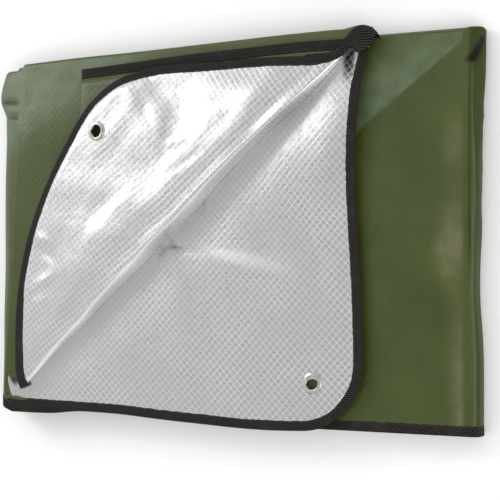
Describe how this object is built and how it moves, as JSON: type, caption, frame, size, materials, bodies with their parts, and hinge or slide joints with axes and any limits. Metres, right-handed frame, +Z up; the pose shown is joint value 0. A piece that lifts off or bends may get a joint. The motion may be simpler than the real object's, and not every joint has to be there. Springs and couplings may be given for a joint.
{
  "type": "picnic blanket",
  "caption": "Picnic blanket folded flat, a corner turned back to show its silver reinforced underside, with bound edges and metal corner eyelets.",
  "frame": {"origin": "on the surface that the folded blanket lies on, under the middle of its box", "axes": "+X along the folded blanket's long side towards its right fold, +Y from the bound edges towards the top fold, +Z up from the surface"},
  "size_m": [0.5512, 0.3872, 0.0571],
  "materials": {
    "green_face": "olive green coated cloth with a fine raised grid and a low satin sheen",
    "silver_face": "aluminised film over a diagonal reinforcing net, crumpled, semi-gloss",
    "binding_tape": "matt woven tape with a line of stitches",
    "eyelet_metal": "plain plated metal, rolled rim"
  },
  "bodies": {
    "root": {"folded_sheet": "green_face", "lower_leaf": "silver_face", "lower_corner": "silver_face", "turned_leaf": "silver_face", "turned_corner": "silver_face", "under_layer": "green_face", "binding_lower": "binding_tape", "binding_turned": "binding_tape", "binding_under": "binding_tape", "binding_long_outer": "binding_tape", "binding_long_inner": "binding_tape", "binding_front_end": "binding_tape", "binding_inner_end": "binding_tape", "eyelet_lower": "eyelet_metal", "eyelet_turned": "eyelet_metal"}
  },
  "joints": []
}
